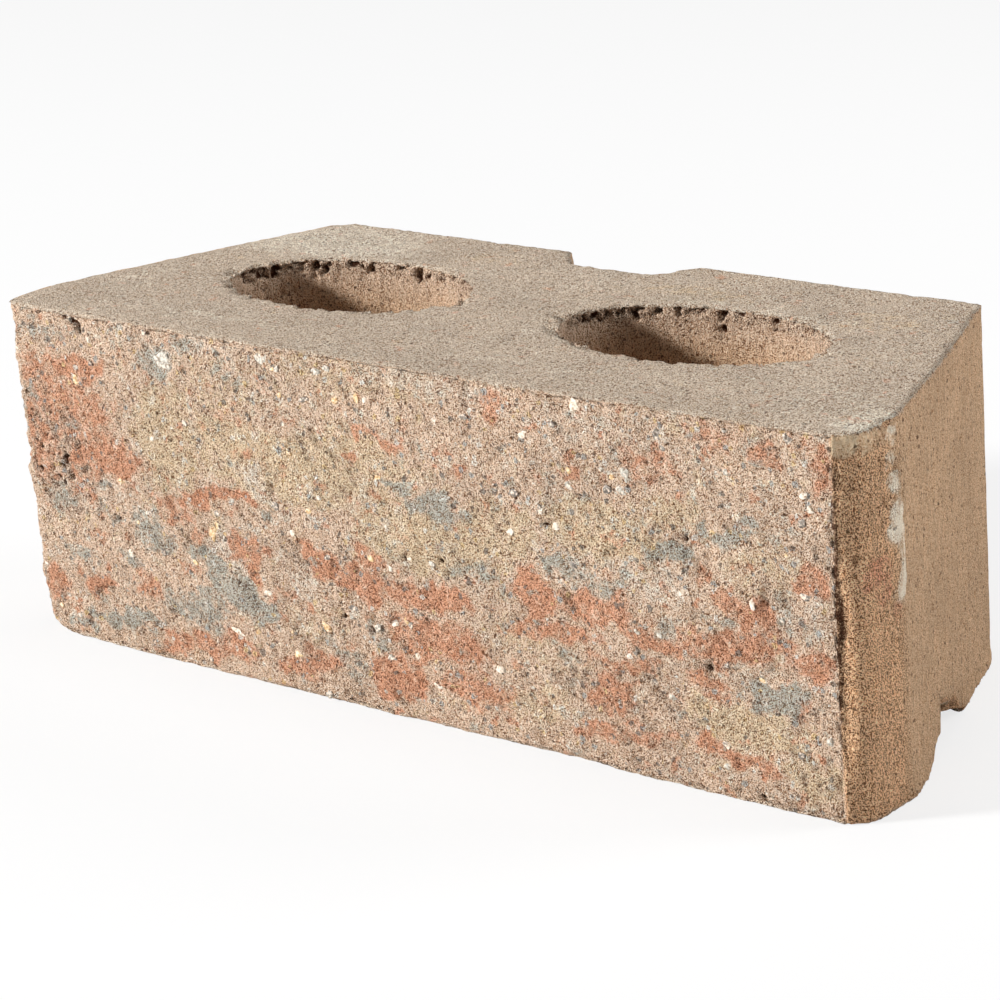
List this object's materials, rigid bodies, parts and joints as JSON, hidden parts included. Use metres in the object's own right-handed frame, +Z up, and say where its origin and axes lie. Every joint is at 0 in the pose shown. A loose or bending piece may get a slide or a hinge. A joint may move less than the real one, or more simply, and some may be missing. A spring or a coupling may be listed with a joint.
{
  "type": "retaining wall block",
  "caption": "Tapered concrete retaining wall block with a split front face, rounded front corners, oval cores through it and a notched rear face.",
  "frame": {"origin": "on the bed, under the middle of the block's outer box", "axes": "+X along the wall, -Y out of the split face, +Z up from the bed to the top face"},
  "size_m": [0.4444, 0.1778, 0.1524],
  "materials": {
    "concrete": "dry-cast concrete in blended tan, red and grey, rough where it was split and finely pitted where it was moulded"
  },
  "bodies": {
    "root": {"block": "concrete"}
  },
  "joints": []
}
